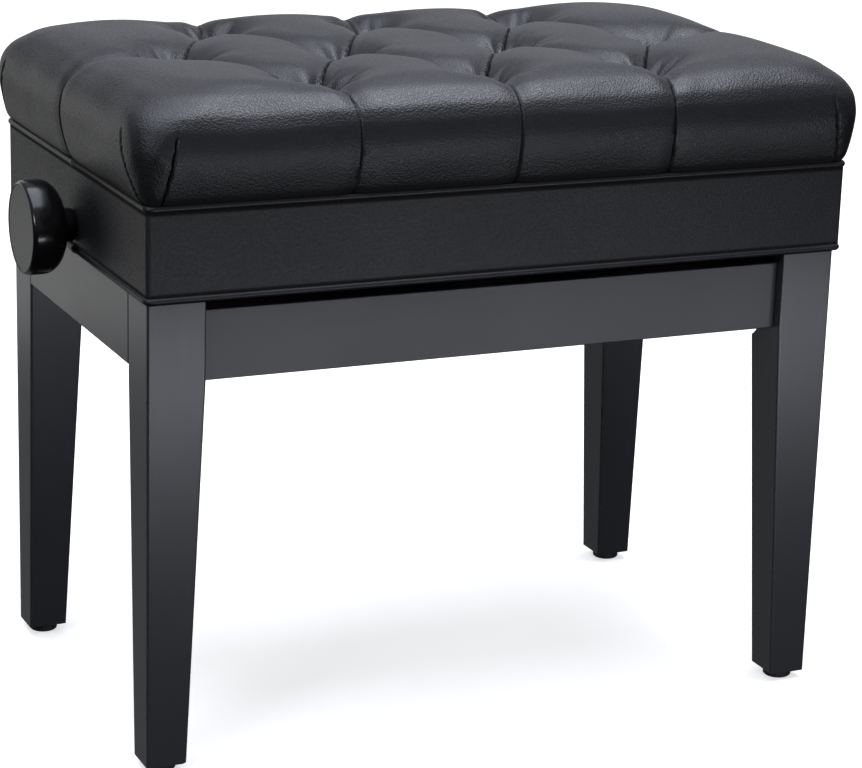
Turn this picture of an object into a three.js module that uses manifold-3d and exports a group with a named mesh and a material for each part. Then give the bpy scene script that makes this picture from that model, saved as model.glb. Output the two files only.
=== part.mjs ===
// Height-adjustable piano bench: a wooden leg frame, an upholstered seat box and a screw-driven scissor lift.
// Millimetres: +X along the bench's width, +Y to its back, +Z up, the origin on the floor under its middle.
// The seat is drawn at its lowest setting.
import * as THREE from 'three';
import { ConvexGeometry } from 'three/addons/geometries/ConvexGeometry.js';
import { mergeVertices } from 'three/addons/utils/BufferGeometryUtils.js';
import Module from 'manifold-3d';

// ---------- driving dimensions ----------
const seatWidth = 550; // outside of the leatherette skirt, along X
const seatDepth = 334; // outside of the leatherette skirt, along Y
const legTopZ = 347.5;
const skirtHeight = 64; // between the centre lines of the two pipings
const cushionHeight = 80; // from the upper piping's centre line to the crown
const cushionBulge = 11; // how far the cushion's widest line stands out past the skirt
const seatCorner = 7; // radius of the skirt's upright corners
const pipingRadius = 3.4;
const pipingSet = 1.6; // how far the piping's centre line lies inside the skirt's face
const coverThickness = 1.2;
const skirtBoard = 12;
const seatBoard = 12;
const seatToLegs = 0.6; // air between the seat box and the legs at the lowest setting

const legInsetX = 2.2; // legs' outer faces inside the skirt's faces
const legInsetY = 5.3;
const legTopX = 43; // leg section down to the aprons' lower edge
const legTopY = 42;
const legFoot = 30; // leg section at the floor
const legArris = 1.6; // rounding of the leg's upright edges
const legFootArris = 0.8; // rounding of the edges under its foot
const legChamfer = 14; // leg of the chamfer on the arris that faces the corner block
const chamferRunOut = 25; // radius of the curve that ends that chamfer
const chamferFullFrom = 5; // the chamfer is full this far over the aprons' lower edge
const glideRadius = 11;
const glideHeight = 6;
const glideEdge = 1; // bevel round its lower face

const apronThickness = 18;
const apronHeight = 51; // front and rear
const apronDrop = 7.7; // front and rear aprons' top under the legs' top
const apronSetback = 8; // front and rear aprons' faces behind the legs' faces
const sideApronHeight = 51.7;
const blockThickness = 28; // corner block, across its diagonal
const legBoltRadius = 4;
const legBoltInLeg = 16;
const washerRadius = 9;
const washerThickness = 2;
const legNutRadius = 7.5; // across its corners, halved
const legNutHeight = 7;
const legBoltTail = 6; // thread past the nut

const railThickness = 3;
const railHeight = 24;
const railFlange = 22;
const railScrewRadius = 2.2;
const railScrewLength = 16;
const railScrewHeadRadius = 4.4;
const railScrewHeadHeight = 2.2;
const railScrewInLeg = 20; // past the edge of the leg's inner face, along X
const upperScrewFromEnd = 60;

const armWidth = 20;
const armThickness = 4;
const washerGap = 1; // between two flat pieces that turn on one shaft
const shaftRadius = 5;
const shaftPastRail = 3; // how far each end stands past the rails
const pivotRadius = 4;
const pivotHead = 2;
const pivotHeadRadius = 7;
const lowerPivotDrop = 17.5; // lower pivots under the legs' top
const armHeadroom = 4; // over the arms' upper ends, under the rails' flanges
const pivotEndMargin = 36; // from the side apron's inner face to the pivots
const liftTravel = 100; // highest setting above the lowest

const spindleRadius = 5.5; // plain stretches
const spindleChamfer = 1;
const threadRadius = 6;
const threadMargin = 8; // thread past the nut at each end of its travel
const nutDepth = 26; // along Y
const nutWall = 6; // material beside the yoke's slot and under the bore
const yokeFloor = 5; // material between the bore and the slot
const bushRadius = 9;
const bushFlangeRadius = 14;
const bushFlange = 3;
const collarRadius = 11;
const collarLength = 9;
const knobRadius = 34.5;
const knobFaceRadius = 32.5;
const knobRim = 14; // flat face to the start of the rounded back
const knobDepth = 30; // flat face to the neck
const knobNeckRadius = 13;
const knobNeckEdge = 1; // taper towards the skirt
const knobOut = 39.5; // flat face to the skirt
const knobBore = 24; // how far the spindle's end runs into the knob

// ---------- named clearances ----------
const gap = 0.3; // between pieces that touch
const running = 0.4; // radial, between a shaft and the hole that it turns in
const standOff = 1; // between a turning piece and a fixed one

// ---------- how finely round shapes are drawn ----------
const holeSides = 12;
const shaftSides = 20;
const headSides = 16;
const boreSides = 24;
const turnedSides = 28;
const knobSides = 32;
const runOutSides = 32;
const knobBackSteps = 8;
const skirtCornerSteps = 6;
const boardCornerSteps = 4;
const pipingCornerSteps = 5;
const pipingSectionSides = 8;
const cushionCornerSteps = 5;
const glideCornerSteps = 5;
const legArrisSteps = 2;
const slotSteps = 8;

// ---------- places worked out from the sizes ----------
const lowerPipingZ = legTopZ + seatToLegs + pipingRadius;
const upperPipingZ = lowerPipingZ + skirtHeight;
const skirtBottomZ = lowerPipingZ + pipingRadius + gap;
const skirtTopZ = upperPipingZ - pipingRadius - gap;
const boardX = seatWidth / 2 - coverThickness - gap; // outside of the skirt boards
const boardY = seatDepth / 2 - coverThickness - gap;
const insideX = boardX - skirtBoard; // inside of the skirt boards
const insideY = boardY - skirtBoard;
const seatBoardTopZ = upperPipingZ - gap;
const seatBoardBottomZ = seatBoardTopZ - seatBoard;

const legOuterX = seatWidth / 2 - legInsetX;
const legOuterY = seatDepth / 2 - legInsetY;
const legInnerX = legOuterX - legTopX;
const legInnerY = legOuterY - legTopY;
const legBottomZ = glideHeight + gap;
const apronFaceY = legOuterY - apronSetback;
const apronInnerY = apronFaceY - apronThickness;
const apronInnerX = legOuterX - apronThickness;
const apronTopZ = legTopZ - apronDrop;
const apronBottomZ = apronTopZ - apronHeight;
const sideApronBottomZ = legTopZ - sideApronHeight;
const lowerPivotZ = legTopZ - lowerPivotDrop;
const blockBottomZ = Math.max(apronBottomZ, sideApronBottomZ) + gap;
const blockHeight = lowerPivotZ - railHeight / 2 - standOff - blockBottomZ; // it ends just under the rails
const blockMidZ = blockBottomZ + blockHeight / 2;
const cornerLine = legInnerX + legInnerY + legChamfer; // |x| + |y| on the legs' chamfered faces

const railOuterY = legInnerY - gap;
const railInnerY = railOuterY - railThickness;
const railEndX = apronInnerX - gap;
const upperRailTopZ = seatBoardBottomZ - gap;
const upperPivotZ = upperRailTopZ - railThickness - armHeadroom - armWidth / 2;
const flangeMidY = railOuterY - railFlange / 2;
const outerArmY = railInnerY - washerGap - armThickness / 2;
const innerArmY = outerArmY - washerGap - armThickness;
const fixedX = -(apronInnerX - pivotEndMargin);
const slidingX = -fixedX;
const armRun = slidingX - fixedX;
const armRise = upperPivotZ - lowerPivotZ;
const armLength = Math.hypot(armRun, armRise);
const armAngle = Math.atan2(armRise, armRun);
const topAngle = Math.asin((armRise + liftTravel) / armLength);
const slideTravel = armRun - armLength * Math.cos(topAngle);
// The nut moves evenly, and the shaft it drives runs ahead of it in mid-travel:
// the yoke's slot takes up the difference.
const midAngle = (armAngle + topAngle) / 2;
const yokePlay = armLength * Math.cos(midAngle) * (1 - Math.cos((topAngle - armAngle) / 2));
const nutX = slidingX + yokePlay / 2;
const slotHalf = shaftRadius + yokePlay / 2 + gap;
const nutHalf = slotHalf + nutWall;
const spindleZ = upperPivotZ - shaftRadius - gap - yokeFloor - gap - threadRadius;

// ---------- geometry helpers ----------
const wasm = await Module();
wasm.setup();

function solidOf(geometry) {
  const bare = geometry.index ? geometry.toNonIndexed() : geometry.clone();
  for (const name of Object.keys(bare.attributes)) {
    if (name !== 'position') bare.deleteAttribute(name);
  }
  const merged = mergeVertices(bare, 1e-3);
  return new wasm.Manifold(new wasm.Mesh({
    numProp: 3,
    vertProperties: merged.attributes.position.array,
    triVerts: new Uint32Array(merged.index.array),
  }));
}

function geometryOf(solid) {
  const mesh = solid.getMesh();
  const geometry = new THREE.BufferGeometry();
  geometry.setAttribute('position', new THREE.BufferAttribute(new Float32Array(mesh.vertProperties), 3));
  geometry.setIndex(new THREE.BufferAttribute(new Uint32Array(mesh.triVerts), 1));
  geometry.computeVertexNormals();
  return geometry;
}

function cut(geometry, ...cutters) {
  return geometryOf(cutters.reduce((left, cutter) => left.subtract(solidOf(cutter)), solidOf(geometry)));
}

function join(geometry, ...others) {
  return geometryOf(others.reduce((whole, other) => whole.add(solidOf(other)), solidOf(geometry)));
}

// A box between two corners.
function block(x0, x1, y0, y1, z0, z1) {
  const geometry = new THREE.BoxGeometry(x1 - x0, y1 - y0, z1 - z0);
  return geometry.translate((x0 + x1) / 2, (y0 + y1) / 2, (z0 + z1) / 2);
}

// A round bar centred on the origin, along 'x', 'y' or 'z'.
function bar(radius, length, along, sides = shaftSides) {
  const geometry = new THREE.CylinderGeometry(radius, radius, length, sides);
  if (along === 'x') geometry.rotateZ(-Math.PI / 2);
  if (along === 'z') geometry.rotateX(Math.PI / 2);
  return geometry;
}

// A body of revolution about X from [distance along X, radius] pairs that start and end on the axis.
function turned(profile, sides = turnedSides) {
  const points = profile.map(([x, radius]) => new THREE.Vector2(radius, x));
  return new THREE.LatheGeometry(points, sides).rotateZ(-Math.PI / 2);
}

// The corners of a rounded rectangle, anticlockwise, as [x, y].
function roundedCorners(halfX, halfY, radius, steps) {
  const centres = [[1, 1], [-1, 1], [-1, -1], [1, -1]];
  return centres.flatMap(([sx, sy], quarter) => Array.from({ length: steps + 1 }, (_, i) => {
    const angle = (quarter + i / steps) * Math.PI / 2;
    const x = sx * (halfX - radius) + radius * Math.cos(angle);
    const y = sy * (halfY - radius) + radius * Math.sin(angle);
    return [x, y];
  }));
}

function outline(corners) {
  return new THREE.Shape(corners.map(([x, y]) => new THREE.Vector2(x, y)));
}

// The smallest convex body around level rounded rectangles,
// each given as [z, halfX, halfY, corner radius, centre x, centre y].
function hullOf(levels, steps) {
  return new ConvexGeometry(levels.flatMap(([z, halfX, halfY, radius, cx = 0, cy = 0]) => (
    roundedCorners(halfX, halfY, radius, steps).map(([x, y]) => new THREE.Vector3(x + cx, y + cy, z))
  )));
}

// A flat plate in the XZ plane from an outline drawn in X and Z, centred on y = 0.
function plate(shape, thickness) {
  const geometry = new THREE.ExtrudeGeometry(shape, {
    depth: thickness,
    bevelEnabled: false,
    curveSegments: slotSteps,
  });
  return geometry.rotateX(Math.PI / 2).translate(0, thickness / 2, 0);
}

// A closed outline with round ends, from x0 to x1 at height z.
function slotOutline(x0, x1, z, radius, Kind = THREE.Path) {
  const path = new Kind();
  path.absarc(x1, z, radius, -Math.PI / 2, Math.PI / 2, false);
  path.absarc(x0, z, radius, Math.PI / 2, 3 * Math.PI / 2, false);
  path.closePath();
  return path;
}

function roundHole(x, z, radius) {
  return new THREE.Path().absarc(x, z, radius, 0, 2 * Math.PI, true);
}

// ---------- finishes ----------
const finishes = {
  blackLacquer: { color: 0x2b2e33, roughness: 0.42, metalness: 0 },
  leatherette: { color: 0x202225, roughness: 0.45, metalness: 0 },
  plywood: { color: 0xb08d5c, roughness: 0.75, metalness: 0 },
  beech: { color: 0x9c7a50, roughness: 0.7, metalness: 0 },
  blackSteel: { color: 0x1b1c1e, roughness: 0.5, metalness: 0.6 },
  zincSteel: { color: 0xb9bcc0, roughness: 0.35, metalness: 0.9 },
  brass: { color: 0xb08a3e, roughness: 0.35, metalness: 0.9 },
  glossPlastic: { color: 0x0b0b0c, roughness: 0.15, metalness: 0 },
  mattePlastic: { color: 0x18191a, roughness: 0.7, metalness: 0 },
};

function add(group, name, geometry, finish, place = [0, 0, 0]) {
  const mesh = new THREE.Mesh(geometry, new THREE.MeshStandardMaterial(finishes[finish]));
  mesh.name = name;
  mesh.position.set(...place);
  group.add(mesh);
  return mesh;
}

const sides = [['front', -1], ['rear', 1]];
const ends = [['left', -1], ['right', 1]];
const corners = sides.flatMap(([side, sy]) => ends.map(([end, sx]) => ({ name: `${side}_${end}`, sx, sy })));

// ---------- leg frame ----------
const legFrame = new THREE.Group();

// Puts a piece drawn along +X from the origin on a corner's diagonal, starting where |x| + |y| = line.
function onDiagonal(geometry, sx, sy, line, z) {
  const shift = (legInnerX - legInnerY) / 2;
  const start = new THREE.Vector3(sx * (line / 2 + shift), sy * (line / 2 - shift), z);
  return geometry.rotateZ(Math.atan2(sy, sx)).translate(start.x, start.y, start.z);
}

// Cutter for the chamfer on a leg's inner arris, with the curved end that a round cutter leaves.
function chamferCutter(sx, sy) {
  const reach = 2 * legChamfer;
  const endZ = apronBottomZ + chamferFullFrom;
  const flat = block(-reach, 0, -reach, reach, endZ, legTopZ + reach);
  const round = bar(chamferRunOut, 2 * reach, 'y', runOutSides).translate(-chamferRunOut, 0, endZ);
  return onDiagonal(join(flat, round), sx, sy, cornerLine, 0);
}

function legGeometry(sx, sy) {
  const level = (z, wide, deep) => [z, wide / 2, deep / 2, legArris,
    sx * (legOuterX - wide / 2), sy * (legOuterY - deep / 2)];
  const taperHeight = apronBottomZ - legBottomZ;
  const taperAt = (from, size) => legFoot + (size - legFoot) * (from - legBottomZ) / taperHeight;
  const footZ = legBottomZ + legFootArris;
  const body = hullOf([
    level(legBottomZ, legFoot - 2 * legFootArris, legFoot - 2 * legFootArris),
    level(footZ, taperAt(footZ, legTopX), taperAt(footZ, legTopY)),
    level(apronBottomZ, legTopX, legTopY),
    level(legTopZ, legTopX, legTopY),
  ], legArrisSteps);
  const bolt = bar(legBoltRadius + gap, 2 * legBoltInLeg, 'x', holeSides);
  const boltHole = onDiagonal(bolt, sx, sy, cornerLine, blockMidZ);
  const screwHole = bar(railScrewRadius + gap, 2 * railScrewLength, 'y', holeSides)
    .translate(sx * (legInnerX + railScrewInLeg), sy * legInnerY, lowerPivotZ);
  return cut(body, chamferCutter(sx, sy), boltHole, screwHole);
}

// The corner block: a wedge across the corner, ending against both aprons.
function blockGeometry(sx, sy) {
  const outer = cornerLine - gap * Math.SQRT2;
  const inner = outer - blockThickness * Math.SQRT2;
  const x = apronInnerX - gap;
  const y = apronInnerY - gap;
  const wedge = [[x, outer - x], [outer - y, y], [inner - y, y], [x, inner - x]];
  const shape = outline(wedge.map(([px, py]) => [sx * px, sy * py]));
  const body = new THREE.ExtrudeGeometry(shape, { depth: blockHeight, bevelEnabled: false });
  const hole = bar(legBoltRadius + gap, 3 * blockThickness, 'x', holeSides);
  return cut(body.translate(0, 0, blockBottomZ), onDiagonal(hole, sx, sy, cornerLine, blockMidZ));
}

// Hanger bolt with its washer and nut, along +X: the washer's face is at x = 0.
function legBoltGeometry() {
  const inWood = blockThickness + legBoltInLeg;
  const outside = washerThickness + legNutHeight + legBoltTail;
  return join(
    bar(legBoltRadius, inWood + outside, 'x', holeSides).translate((inWood - outside) / 2, 0, 0),
    bar(washerRadius, washerThickness, 'x', headSides).translate(-washerThickness / 2, 0, 0),
    bar(legNutRadius, legNutHeight, 'x', 6).translate(-washerThickness - legNutHeight / 2, 0, 0),
  );
}

for (const { name, sx, sy } of corners) {
  add(legFrame, `leg_${name}`, legGeometry(sx, sy), 'blackLacquer');
  const glide = hullOf([
    [0, ...Array(3).fill(glideRadius - glideEdge)],
    [glideEdge, ...Array(3).fill(glideRadius)],
    [glideHeight, ...Array(3).fill(glideRadius)],
  ], glideCornerSteps);
  const footX = sx * (legOuterX - legFoot / 2);
  const footY = sy * (legOuterY - legFoot / 2);
  add(legFrame, `glide_${name}`, glide, 'mattePlastic', [footX, footY, 0]);
  add(legFrame, `corner_block_${name}`, blockGeometry(sx, sy), 'beech');
  const boltLine = cornerLine - (blockThickness + 2 * gap) * Math.SQRT2;
  const bolt = onDiagonal(legBoltGeometry(), sx, sy, boltLine, blockMidZ);
  add(legFrame, `leg_bolt_${name}`, bolt, 'zincSteel');
}

for (const [side, sy] of sides) {
  const half = legInnerX - gap;
  const y0 = Math.min(sy * apronFaceY, sy * apronInnerY);
  const panel = block(-half, half, y0, y0 + apronThickness, apronBottomZ, apronTopZ);
  add(legFrame, `apron_${side}`, panel, 'blackLacquer');
}

for (const [end, sx] of ends) {
  const half = legInnerY - gap;
  const x0 = Math.min(sx * legOuterX, sx * apronInnerX);
  const panel = block(x0, x0 + apronThickness, -half, half, sideApronBottomZ, legTopZ);
  add(legFrame, `apron_${end}`, panel, 'blackLacquer');
}

// A pan-head screw along +Y with its head's underside at y = 0.
function screwGeometry(length) {
  return join(
    bar(railScrewRadius, length, 'y', holeSides).translate(0, length / 2, 0),
    bar(railScrewHeadRadius, railScrewHeadHeight, 'y', headSides).translate(0, -railScrewHeadHeight / 2, 0),
  );
}

// A rail's upright web with the pivot hole at one end and the slot that the sliding shaft runs in.
function railWeb(z0, z1, pivotZ) {
  const shape = outline([[-railEndX, z0], [railEndX, z0], [railEndX, z1], [-railEndX, z1]]);
  const hole = shaftRadius + running;
  shape.holes.push(roundHole(fixedX, pivotZ, hole));
  shape.holes.push(slotOutline(slidingX - slideTravel, slidingX, pivotZ, hole));
  return shape;
}

for (const [side, sy] of sides) {
  const shape = railWeb(lowerPivotZ - railHeight / 2, lowerPivotZ + railHeight / 2, lowerPivotZ);
  for (const [, sx] of ends) {
    shape.holes.push(roundHole(sx * (legInnerX + railScrewInLeg), lowerPivotZ, railScrewRadius + gap));
  }
  const web = plate(shape, railThickness);
  add(legFrame, `lower_rail_${side}`, web, 'blackSteel', [0, sy * (railOuterY - railThickness / 2), 0]);
  for (const [end, sx] of ends) {
    const screw = add(legFrame, `rail_screw_${side}_${end}`, screwGeometry(railScrewLength), 'zincSteel',
      [sx * (legInnerX + railScrewInLeg), sy * (railInnerY - gap), lowerPivotZ]);
    if (sy < 0) screw.rotation.x = Math.PI;
  }
}

// ---------- scissor arms ----------
// An arm lies along +X from its first shaft, in the plane y = 0.
function armGeometry() {
  const shape = slotOutline(0, armLength, 0, armWidth / 2, THREE.Shape);
  for (const x of [0, armLength]) {
    shape.holes.push(roundHole(x, 0, shaftRadius + gap));
  }
  shape.holes.push(roundHole(armLength / 2, 0, pivotRadius + running));
  return plate(shape, armThickness);
}

function shaftGeometry() {
  return bar(shaftRadius, 2 * (railOuterY + shaftPastRail), 'y');
}

// Rivet through both arms of one side, with a head on each face; drawn along +Y outwards from the inner arm.
function centrePivotGeometry() {
  const across = 2 * armThickness + washerGap + 2 * gap;
  const headAt = (across + pivotHead) / 2;
  return join(
    bar(pivotRadius, across + 2 * pivotHead, 'y', headSides),
    bar(pivotHeadRadius, pivotHead, 'y', headSides).translate(0, headAt, 0),
    bar(pivotHeadRadius, pivotHead, 'y', headSides).translate(0, -headAt, 0),
  );
}

const outerArms = new THREE.Group();
outerArms.position.set(fixedX, 0, lowerPivotZ);
outerArms.rotation.y = -armAngle;
for (const [side, sy] of sides) {
  add(outerArms, `outer_arm_${side}`, armGeometry(), 'blackSteel', [0, sy * outerArmY, 0]);
  add(outerArms, `centre_pivot_${side}`, centrePivotGeometry(), 'zincSteel',
    [armLength / 2, sy * (outerArmY + innerArmY) / 2, 0]);
}
add(outerArms, 'lower_fixed_shaft', shaftGeometry(), 'zincSteel');
add(outerArms, 'upper_sliding_shaft', shaftGeometry(), 'zincSteel', [armLength, 0, 0]);

const innerArms = new THREE.Group();
innerArms.position.set(fixedX, 0, upperPivotZ);
innerArms.rotation.y = armAngle;
for (const [side, sy] of sides) {
  add(innerArms, `inner_arm_${side}`, armGeometry(), 'blackSteel', [0, sy * innerArmY, 0]);
}
add(innerArms, 'upper_fixed_shaft', shaftGeometry(), 'zincSteel');
add(innerArms, 'lower_sliding_shaft', shaftGeometry(), 'zincSteel', [armLength, 0, 0]);

// ---------- seat box ----------
const seatBox = new THREE.Group();
const spindleHole = bar(bushRadius + gap, 2 * seatWidth, 'x', boreSides).translate(0, 0, spindleZ);

for (const [side, sy] of sides) {
  const y0 = Math.min(sy * boardY, sy * insideY);
  const board = block(-boardX, boardX, y0, y0 + skirtBoard, skirtBottomZ, skirtTopZ);
  const rounding = new THREE.ExtrudeGeometry(
    outline(roundedCorners(boardX, boardY, seatCorner - coverThickness, boardCornerSteps)),
    { depth: 2 * skirtHeight, bevelEnabled: false },
  ).translate(0, 0, skirtBottomZ - skirtHeight / 2);
  const rounded = geometryOf(solidOf(board).intersect(solidOf(rounding)));
  add(seatBox, `skirt_board_${side}`, rounded, 'plywood');
}

for (const [end, sx] of ends) {
  const x0 = Math.min(sx * boardX, sx * insideX);
  const half = insideY - gap;
  const board = block(x0, x0 + skirtBoard, -half, half, skirtBottomZ, skirtTopZ);
  add(seatBox, `skirt_board_${end}`, cut(board, spindleHole), 'plywood');
}

// The leatherette wrapped round the skirt boards.
function skirtCoverGeometry() {
  const shape = outline(roundedCorners(seatWidth / 2, seatDepth / 2, seatCorner, skirtCornerSteps));
  const inside = roundedCorners(boardX + gap, boardY + gap, seatCorner - coverThickness, skirtCornerSteps);
  shape.holes.push(new THREE.Path(inside.map(([x, y]) => new THREE.Vector2(x, y)).reverse()));
  const wrap = new THREE.ExtrudeGeometry(shape, { depth: skirtTopZ - skirtBottomZ, bevelEnabled: false });
  return cut(wrap.translate(0, 0, skirtBottomZ), spindleHole);
}
add(seatBox, 'skirt_cover', skirtCoverGeometry(), 'leatherette');

// The piping's route: once round the seat, from one end of the join to the other,
// with stops only where it bends.
class PipingRoute extends THREE.Curve {
  constructor() {
    super();
    const halfX = seatWidth / 2 - pipingSet;
    const halfY = seatDepth / 2 - pipingSet;
    const bends = roundedCorners(halfX, halfY, seatCorner, pipingCornerSteps);
    const half = bends.length / 2;
    this.stops = [[-halfX, -gap / 2], ...bends.slice(half), ...bends.slice(0, half), [-halfX, gap / 2]]
      .map(([x, y]) => new THREE.Vector3(x, y, 0));
  }

  getPoint(t) {
    const last = this.stops.length - 1;
    const at = Math.min(Math.floor(t * last + 1e-6), last - 1);
    return this.stops[at].clone().lerp(this.stops[at + 1], t * last - at);
  }

  getPointAt(u) {
    return this.getPoint(u);
  }

  getTangentAt(u) {
    const last = this.stops.length - 1;
    const at = Math.round(u * last);
    const before = this.stops[Math.max(at - 1, 0)];
    const after = this.stops[Math.min(at + 1, last)];
    const inward = this.stops[at].clone().sub(before).normalize();
    const onward = after.clone().sub(this.stops[at]).normalize();
    return inward.add(onward).normalize();
  }
}

function pipingGeometry() {
  const route = new PipingRoute();
  const step = 2 * Math.PI / pipingSectionSides;
  const section = outline(Array.from({ length: pipingSectionSides }, (_, i) => (
    [pipingRadius * Math.cos(i * step), pipingRadius * Math.sin(i * step)]
  )));
  return new THREE.ExtrudeGeometry(section, { steps: route.stops.length - 1, extrudePath: route });
}
add(seatBox, 'piping_lower', pipingGeometry(), 'leatherette', [0, 0, lowerPipingZ]);
add(seatBox, 'piping_upper', pipingGeometry(), 'leatherette', [0, 0, upperPipingZ]);

// The plywood that the cushion lies on; the upper rails are screwed up into it.
const upperScrewX = railEndX - upperScrewFromEnd;
const upperScrewLength = seatBoard; // through the flange and well into the board

function seatBoardGeometry() {
  const halfX = insideX - gap;
  const halfY = insideY - gap;
  const panel = block(-halfX, halfX, -halfY, halfY, seatBoardBottomZ, seatBoardTopZ);
  const holes = corners.map(({ sx, sy }) => (
    bar(railScrewRadius + gap, 2 * (upperScrewLength - railThickness), 'z', holeSides)
      .translate(sx * upperScrewX, sy * flangeMidY, seatBoardBottomZ)
  ));
  return cut(panel, ...holes);
}

add(seatBox, 'seat_board', seatBoardGeometry(), 'plywood');

// Cushion: foam under the tufted leatherette, as one plain soft body with a flat crown.
function cushionGeometry() {
  const bottomZ = seatBoardTopZ + gap;
  const insidePiping = pipingSet + 2 * pipingRadius + gap;
  const wideZ = upperPipingZ + cushionHeight / 2;
  const topZ = upperPipingZ + cushionHeight;
  // Each level has its height, how far it stands out past the skirt, and its corner radius.
  const level = (z, out, radius) => [z, seatWidth / 2 + out, seatDepth / 2 + out, radius];
  return hullOf([
    level(bottomZ, -insidePiping, 8),
    level(wideZ - 20, cushionBulge - 2, 20),
    level(wideZ, cushionBulge, 24),
    level(wideZ + 16, cushionBulge - 3, 26),
    level(topZ - 14, -2, 32),
    level(topZ - 4, -18, 38),
    level(topZ, -38, 44),
  ], cushionCornerSteps);
}
add(seatBox, 'cushion', cushionGeometry(), 'leatherette');

// Steel angle under the seat board: the web carries the arms' upper ends, the flange is screwed to the board.
function upperRailGeometry(sy) {
  const webBottomZ = upperPivotZ - armWidth / 2 - standOff;
  const webY = sy * (railOuterY - railThickness / 2);
  const web = plate(railWeb(webBottomZ, upperRailTopZ, upperPivotZ), railThickness).translate(0, webY, 0);
  const y0 = sy < 0 ? -railOuterY : railOuterY - railFlange;
  const flangeZ = upperRailTopZ - railThickness;
  const flange = block(-railEndX, railEndX, y0, y0 + railFlange, flangeZ, upperRailTopZ);
  const holes = ends.map(([, sx]) => (
    bar(railScrewRadius + gap, 4 * railThickness, 'z', holeSides)
      .translate(sx * upperScrewX, sy * flangeMidY, flangeZ)
  ));
  return cut(join(web, flange), ...holes);
}

for (const [side, sy] of sides) {
  add(seatBox, `upper_rail_${side}`, upperRailGeometry(sy), 'blackSteel');
}
for (const { name, sx, sy } of corners) {
  const screw = add(seatBox, `seat_screw_${name}`, screwGeometry(upperScrewLength), 'zincSteel',
    [sx * upperScrewX, sy * flangeMidY, upperRailTopZ - railThickness - gap]);
  screw.rotation.x = Math.PI / 2;
}

// Flanged bush that carries the spindle in a side of the seat box:
// x = 0 is the skirt's face, and +X leads inwards.
function bushGeometry() {
  const bore = spindleRadius + running;
  const seat = seatWidth / 2 - insideX + gap; // skirt's face to the back of the flange
  return turned([[0, bore], [0, bushRadius], [seat, bushRadius], [seat, bushFlangeRadius],
    [seat + bushFlange, bushFlangeRadius], [seat + bushFlange, bore], [0, bore]]);
}
for (const [end, sx] of ends) {
  const bush = add(seatBox, `spindle_bush_${end}`, bushGeometry(), 'mattePlastic',
    [sx * seatWidth / 2, 0, spindleZ]);
  if (sx > 0) bush.rotation.z = Math.PI;
}

// ---------- spindle with its knobs ----------
const spindleGroup = new THREE.Group();
spindleGroup.position.set(0, 0, spindleZ);

function spindleGeometry() {
  const end = seatWidth / 2 + standOff + knobBore - gap;
  const threadStart = nutX - slideTravel - nutHalf - threadMargin;
  const threadEnd = nutX + nutHalf + threadMargin;
  const tip = spindleRadius - spindleChamfer;
  return turned([[-end, 0], [-end, tip], [-end + spindleChamfer, spindleRadius],
    [threadStart, spindleRadius], [threadStart, threadRadius],
    [threadEnd, threadRadius], [threadEnd, spindleRadius],
    [end - spindleChamfer, spindleRadius], [end, tip], [end, 0]], shaftSides);
}
add(spindleGroup, 'spindle', spindleGeometry(), 'zincSteel');

// Knob: x = 0 is its flat face, +X leads through the rounded back and the neck to the skirt.
function knobGeometry() {
  const edge = knobRadius - knobFaceRadius;
  const rounding = Array.from({ length: knobBackSteps + 1 }, (_, i) => {
    const angle = i / knobBackSteps * Math.PI / 2;
    return [knobRim + (knobDepth - knobRim) * Math.sin(angle),
      knobNeckRadius + (knobRadius - knobNeckRadius) * Math.cos(angle)];
  });
  const end = knobOut - standOff;
  const bore = spindleRadius + gap;
  return turned([[0, 0], [0, knobFaceRadius], [edge / 2, knobRadius - edge / 4], [2 * edge, knobRadius],
    ...rounding, [end, knobNeckRadius - knobNeckEdge], [end, bore],
    [end - knobBore, bore], [end - knobBore, 0]], knobSides);
}

function collarGeometry() {
  const bore = spindleRadius + gap;
  return turned([[0, bore], [0, collarRadius], [collarLength, collarRadius],
    [collarLength, bore], [0, bore]]);
}

for (const [end, sx] of ends) {
  const knob = add(spindleGroup, `knob_${end}`, knobGeometry(), 'glossPlastic',
    [sx * (seatWidth / 2 + knobOut), 0, 0]);
  if (sx > 0) knob.rotation.z = Math.PI;
  const collarStart = insideX - gap - bushFlange - standOff - collarLength;
  const collarX = sx > 0 ? collarStart : -collarStart - collarLength;
  add(spindleGroup, `thrust_collar_${end}`, collarGeometry(), 'zincSteel', [collarX, 0, 0]);
}

// ---------- nut with the yoke that drives the upper sliding shaft ----------
function driveNutGeometry() {
  const floorZ = upperPivotZ - shaftRadius - gap - spindleZ;
  const topZ = upperPivotZ + shaftRadius - spindleZ;
  const body = block(-nutHalf, nutHalf, -nutDepth / 2, nutDepth / 2, -threadRadius - nutWall, topZ);
  const slot = block(-slotHalf, slotHalf, -nutDepth, nutDepth, floorZ, 2 * topZ);
  return cut(body, slot, bar(threadRadius + gap, 4 * nutHalf, 'x', boreSides));
}
const nutGroup = new THREE.Group();
nutGroup.position.set(nutX, 0, spindleZ);
add(nutGroup, 'drive_nut', driveNutGeometry(), 'brass');

const bench = new THREE.Group();
bench.add(legFrame, outerArms, innerArms, seatBox, spindleGroup, nutGroup);
export default bench;
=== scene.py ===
import math

import bmesh
import bpy
import numpy as np
from mathutils import Matrix, Vector


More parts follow.
